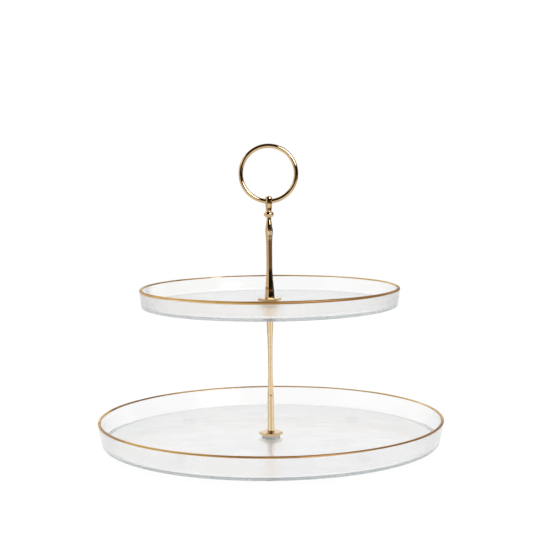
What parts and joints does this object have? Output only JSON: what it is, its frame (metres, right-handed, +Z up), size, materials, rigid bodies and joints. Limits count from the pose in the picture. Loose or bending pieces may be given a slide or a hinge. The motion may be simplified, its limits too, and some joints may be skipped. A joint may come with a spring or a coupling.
{
  "type": "tiered cake stand",
  "caption": "Tiered stand for cakes: round clear glass dishes with gilt rims, clamped on a slim brass rod with a ring handle on top.",
  "frame": {"origin": "centre of the stand on the table top, under the rod", "axes": "+Z up along the rod, +Y away from the front, +X to the right; the ring lies in the XZ plane"},
  "size_m": [0.3204, 0.3204, 0.2795],
  "materials": {
    "dish_glass": "clear slumped glass, polished, faintly wavy",
    "gilding": "hand-painted gold, fired on, slightly uneven",
    "gold_brass": "polished, light gold plating",
    "zinc_steel": "zinc plated",
    "soft_washer": "soft translucent plastic",
    "bumper": "clear soft bumper"
  },
  "bodies": {
    "base": {"bumper_foot_back_right": "bumper", "bumper_foot_back_left": "bumper", "bumper_foot_front_left": "bumper", "bumper_foot_front_right": "bumper", "lower_dish": "dish_glass", "lower_dish_gilt_rim": "gilding", "upper_dish": "dish_glass", "upper_dish_gilt_rim": "gilding", "base_screw": "zinc_steel", "base_metal_washer": "zinc_steel", "lower_dish_under_washer": "soft_washer", "lower_dish_top_washer": "soft_washer", "lower_flange": "gold_brass", "lower_rod": "gold_brass", "rod_cap_washer": "gold_brass", "upper_dish_under_washer": "soft_washer"},
    "turning_washer": {"upper_dish_top_washer": "soft_washer"},
    "handle": {"upper_flange": "gold_brass", "upper_rod": "gold_brass", "handle_stud": "zinc_steel", "bead_collar": "gold_brass", "ring_head": "gold_brass"},
    "ring": {"handle_ring": "gold_brass"}
  },
  "joints": [
    {"name": "handle_unscrew", "type": "hinge", "parent": "base", "child": "turning_washer", "pos_m": [0, 0, 0.1343], "axis": [0, 0, 1], "range_deg": [0, 4321]},
    {"name": "handle_rise", "type": "slide", "parent": "turning_washer", "child": "handle", "axis": [0, 0, 1], "range_m": [0, 0.0084]},
    {"name": "ring_swing", "type": "hinge", "parent": "handle", "child": "ring", "pos_m": [0, 0, 0.2266], "axis": [1, 0, 0], "range_deg": [-174, 174]}
  ],
  "couplings": [
    {"joint": "handle_unscrew", "follows": "handle_rise", "rad_per_m": 8976}
  ]
}
